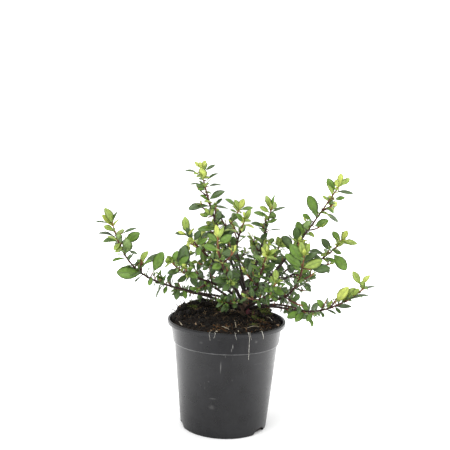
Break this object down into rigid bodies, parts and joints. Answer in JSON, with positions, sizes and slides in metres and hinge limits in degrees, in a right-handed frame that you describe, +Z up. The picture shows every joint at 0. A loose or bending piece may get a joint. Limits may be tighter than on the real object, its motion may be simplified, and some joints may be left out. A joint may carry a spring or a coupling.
{
  "type": "potted escallonia shrub",
  "caption": "Young evergreen escallonia with loose arching leafy shoots, growing from a short woody stem in a round black nursery pot full of compost.",
  "frame": {"origin": "middle of the pot's flat underside", "axes": "+Z up, -Y towards the side that the picture shows, +X to the right of that view"},
  "size_m": [0.3008, 0.2228, 0.2994],
  "materials": {
    "pot": "satin black",
    "soil": "damp peat compost",
    "bark": "rough dark bark",
    "bough": "smooth brown bark",
    "foliage": "glossy leaf"
  },
  "bodies": {
    "root": {"pot": "pot", "soil": "soil", "woody_stem": "bark", "bough_back_tall": "bough", "bough_centre_right": "bough", "bough_centre": "bough", "bough_right_tall": "bough", "bough_left_upper": "bough", "bough_back_bent": "bough", "bough_front_middle": "bough", "bough_back_upright": "bough", "bough_right_middle": "bough", "bough_front_left": "bough", "bough_left_low": "bough", "bough_left_rim": "bough", "bough_back_left": "bough", "bough_back_right": "bough", "bough_back_far": "bough", "bough_front_right": "bough", "bough_left_arch": "bough", "bough_front_short": "bough", "bough_front_low": "bough", "bough_right_low": "bough", "bough_right_rim": "bough", "bough_back_right_low": "bough", "bough_back_low": "bough", "bough_back_left_low": "bough", "foliage_back_tall": "foliage", "foliage_centre_right": "foliage", "foliage_centre": "foliage", "foliage_right_tall": "foliage", "foliage_left_upper": "foliage", "foliage_back_bent": "foliage", "foliage_front_middle": "foliage", "foliage_back_upright": "foliage", "foliage_right_middle": "foliage", "foliage_front_left": "foliage", "foliage_left_low": "foliage", "foliage_left_rim": "foliage", "foliage_back_left": "foliage", "foliage_back_right": "foliage", "foliage_back_far": "foliage", "foliage_front_right": "foliage", "foliage_left_arch": "foliage", "foliage_front_short": "foliage", "foliage_front_low": "foliage", "foliage_right_low": "foliage", "foliage_right_rim": "foliage", "foliage_back_right_low": "foliage", "foliage_back_low": "foliage", "foliage_back_left_low": "foliage"}
  },
  "joints": []
}
